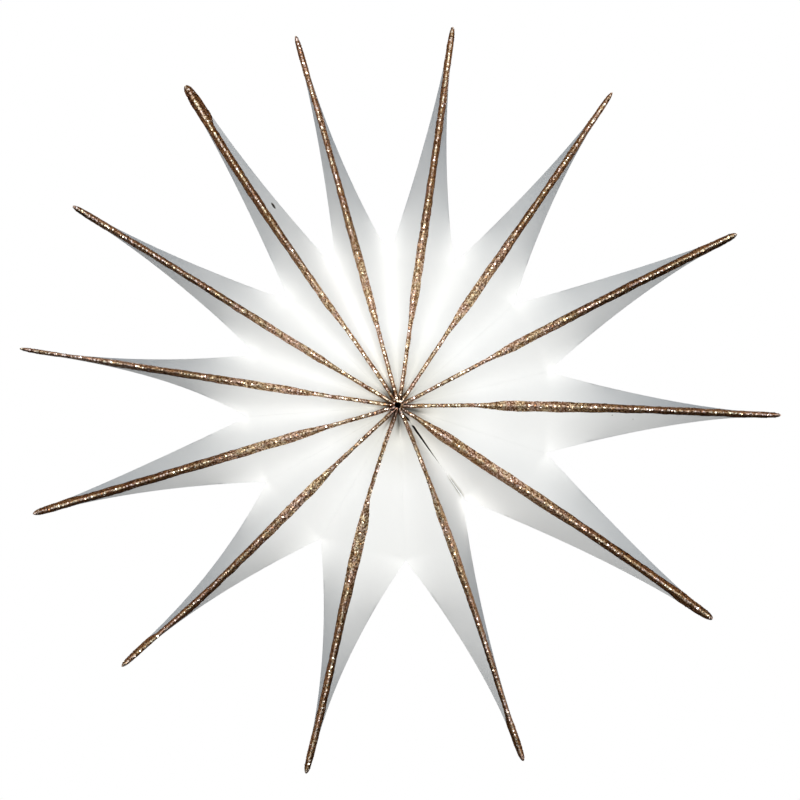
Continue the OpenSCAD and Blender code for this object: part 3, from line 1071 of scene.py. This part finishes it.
def glitter_material():
    material, tree, place = start_material("glitter")
    cells = Wire.node(tree, "TexVoronoi", values={"Vector": place, "Scale": 1 / (GRAIN * MM)}, out="Color")
    grain = Wire.node(tree, "SeparateColor", values={"Color": cells})
    tone = Wire.node(tree, "Attribute", {"attribute_name": "tone"}, out="Fac")
    flake = Wire.node(tree, "Attribute", {"attribute_name": "flake"}, out="Fac")
    reach = Wire.node(tree, "VectorMath", {"operation": "LENGTH"}, {0: place}, out="Value")
    # The bed's shade carries the painted highlight on the crest and the painted shade on the flanks.
    bed = band_shade(tone, grain, reach)
    shade = bed + flake * (tone - bed)
    color = Wire.node(tree, "ValToRGB", {"stops": GLITTER_STOPS}, {"Fac": shade})
    patches = Wire.node(tree, "TexNoise", values={"Vector": place, "Scale": PATCH_SCALE, "Detail": 1.0})
    patches = ((patches - 0.5) * PATCH_CONTRAST + 0.5).clamped()
    color = blend_colors(1.0, color, blend_colors(patches, PATCH_GOLD, PATCH_ROSE), "MULTIPLY")
    normal = Wire.node(tree, "NewGeometry", out="Normal")
    tilt = Wire.node(tree, "VectorMath", {"operation": "SUBTRACT"}, {0: cells, 1: (0.5, 0.5, 0.5)})
    amount = (1 - flake) * BED_TILT
    tilt = Wire.node(tree, "VectorMath", {"operation": "SCALE"}, {0: tilt, "Scale": amount})
    tilted = Wire.node(tree, "VectorMath", {"operation": "ADD"}, {0: normal, 1: tilt})
    tilted = Wire.node(tree, "VectorMath", {"operation": "NORMALIZE"}, {0: tilted})
    shader = Wire.node(tree, "BsdfPrincipled", values={
        "Base Color": color, "Metallic": 0.9, "Roughness": 0.3, "Normal": tilted,
        "Specular Tint": EDGE_TINT, "Specular IOR Level": 0.3})
    Wire.node(tree, "OutputMaterial", values={"Surface": shader})
    return material


# %% [markdown]
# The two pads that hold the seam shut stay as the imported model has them. They are thin
# foam tape, so they only get an open-celled, slightly creamy finish.

# %% Foam of the pads
FOAM_PALE = (0.88, 0.88, 0.84, 1)
FOAM_CELL = (0.78, 0.78, 0.74, 1)
FOAM_SCALE = 2500.0


def foam_material():
    material, tree, place = start_material("foam")
    cells = Wire.node(tree, "TexVoronoi", values={"Vector": place, "Scale": FOAM_SCALE})
    color = blend_colors(cells, FOAM_PALE, FOAM_CELL)
    bump = Wire.node(tree, "Bump", values={"Strength": 0.4, "Distance": 0.1 * MM, "Height": cells})
    shader = Wire.node(tree, "BsdfPrincipled", values={"Base Color": color, "Roughness": 0.9, "Normal": bump})
    Wire.node(tree, "OutputMaterial", values={"Surface": shader})
    return material


# %% [markdown]
# Every piece rides on the star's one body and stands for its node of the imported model,
# which is then hidden.

# %% Dress the pieces
def dress(piece, material, node):
    """Gives a piece its material and its node, on the star's one body."""
    piece.data.materials.clear()
    piece.data.materials.append(material)
    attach(piece, "root")
    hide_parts(node)


paper = paper_material()
glitter = glitter_material()
foam = foam_material()
for i in range(POINTS):
    dress(papers[i], paper, f"point_{i + 1:02d}")
    dress(coats[i], glitter, f"glitter_{i + 1:02d}")
for name in ("seam_pad_front", "seam_pad_back"):
    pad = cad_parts[name]
    pad.data.materials.clear()
    pad.data.materials.append(foam)
print("dressed:", len(papers) + len(coats), "pieces and two pads")

# %% [markdown]
# The photograph looks straight at the front from far away, with the hub almost in the
# middle. The camera stands 4 m off, and its lens is worked out from the width it sees.

# %% Camera
FIELD = 0.635
DISTANCE = 4.0
PHOTO_SIDE = 800
HUB_PIXEL = (399, 406)
camera = bpy.data.objects.new("camera", bpy.data.cameras.new("camera"))
bpy.context.scene.collection.objects.link(camera)
per_pixel = FIELD / PHOTO_SIDE
right = (PHOTO_SIDE / 2 - HUB_PIXEL[0]) * per_pixel
up = (HUB_PIXEL[1] - PHOTO_SIDE / 2) * per_pixel
camera.location = (right, -DISTANCE, up)
camera.rotation_euler = (math.pi / 2, 0, 0)
camera.data.lens = camera.data.sensor_width * DISTANCE / FIELD
bpy.context.scene.camera = camera
print("lens:", round(camera.data.lens, 1), "mm")

# %% [markdown]
# One soft lamp close before the star and one close behind it light the two faces alike.
# Being close, they fall off a little towards the tips. Steep paper is dark under them and
# flat paper is bright, which is what draws the folds. The world adds a little cool light.

# %% Light
LAMP_SIDE = 0.45
LAMP_AWAY = 0.85
LAMP_UP = 0.07
LAMP_POWER = 7.6
LAMP_WARM = (1.0, 0.988, 0.96)


def lamp(name, away):
    """A soft square lamp that faces the star, and that the camera doesn't see."""
    light = bpy.data.lights.new(name, "AREA")
    light.size = LAMP_SIDE
    light.energy = LAMP_POWER
    light.color = LAMP_WARM
    made = bpy.data.objects.new(name, light)
    made.location = (0, away, LAMP_UP)
    made.rotation_euler = (math.pi / 2, 0, 0 if away < 0 else math.pi)
    made.visible_camera = False
    bpy.context.scene.collection.objects.link(made)


lamp("front_lamp", -LAMP_AWAY)
lamp("rear_lamp", LAMP_AWAY)
print("lamps:", LAMP_POWER, "W each, at", LAMP_AWAY, "m")

# %% [markdown]
# The background is white to the camera and in reflections, but gives only a dim light.
# Light Path tells those rays apart, so the white needs no more light on the object.

# %% World
AMBIENT = (0.3, 0.62, 1.0, 1)
AMBIENT_LEVEL = 0.1
WHITE = (1, 1, 1, 1)
world = bpy.data.worlds.new("studio")
world.use_nodes = True
bpy.context.scene.world = world
tree = world.node_tree
tree.nodes.clear()
seen = Wire.node(tree, "LightPath", out="Is Camera Ray")
glossy = Wire(tree, seen.socket.node.outputs["Is Glossy Ray"])
through = Wire(tree, seen.socket.node.outputs["Is Transmission Ray"])
white_rays = (seen + glossy + through).clamped()
dim = Wire.node(tree, "Background", values={"Color": AMBIENT, "Strength": AMBIENT_LEVEL})
white = Wire.node(tree, "Background", values={"Color": WHITE, "Strength": 1.0})
mixed = Wire.node(tree, "MixShader", values={0: white_rays, 1: dim, 2: white})
Wire.node(tree, "OutputWorld", values={"Surface": mixed})
print("ambient light:", AMBIENT_LEVEL)

# %% [markdown]
# The floor is a round sheet below the lowest point. Under the star it shows its own lit
# surface with the shadow on it, and further off it runs out into the white background.

# %% Floor
FLOOR_Z = -0.5
FLOOR_R = 2.0
FLOOR_CORNERS = 96
FLOOR_PALE = (0.4, 0.4, 0.4, 1)
FLOOR_SPECK = (0.37, 0.37, 0.375, 1)
FLOOR_GLOW = 0.68
FLOOR_REACH = 1.3
SPECK_SCALE = 3.0

turns = 2 * math.pi * np.arange(FLOOR_CORNERS) / FLOOR_CORNERS
rim = np.stack([FLOOR_R * np.cos(turns), FLOOR_R * np.sin(turns), np.full(FLOOR_CORNERS, FLOOR_Z)], -1)
floor_mesh = bpy.data.meshes.new("floor")
floor_mesh.from_pydata(rim.tolist(), [], [tuple(range(FLOOR_CORNERS))])
floor = bpy.data.objects.new("floor", floor_mesh)
bpy.context.scene.collection.objects.link(floor)

material, tree, place = start_material("floor")
seen = Wire.node(tree, "LightPath", out="Is Camera Ray")
speckle = Wire.node(tree, "TexNoise", values={"Vector": place, "Scale": SPECK_SCALE})
matt = Wire.node(tree, "BsdfDiffuse", values={"Color": blend_colors(speckle, FLOOR_PALE, FLOOR_SPECK)})
glow = Wire.node(tree, "Emission", values={"Color": WHITE, "Strength": FLOOR_GLOW})
white = Wire.node(tree, "Emission", values={"Color": WHITE, "Strength": 1.0})
near_floor = Wire.node(tree, "AddShader", values={0: matt, 1: glow})
reach = Wire.node(tree, "VectorMath", {"operation": "LENGTH"}, {0: place}, out="Value")
away = (reach * (1 / FLOOR_REACH)).clamped()
shown = Wire.node(tree, "MixShader", values={0: away, 1: near_floor, 2: white})
mixed = Wire.node(tree, "MixShader", values={0: seen, 1: matt, 2: shown})
Wire.node(tree, "OutputMaterial", values={"Surface": mixed})
floor.data.materials.append(material)
print("floor at", FLOOR_Z, "m")

# %% [markdown]
# The Standard view shows each colour as it is written.

# %% View
bpy.context.scene.view_settings.view_transform = "Standard"
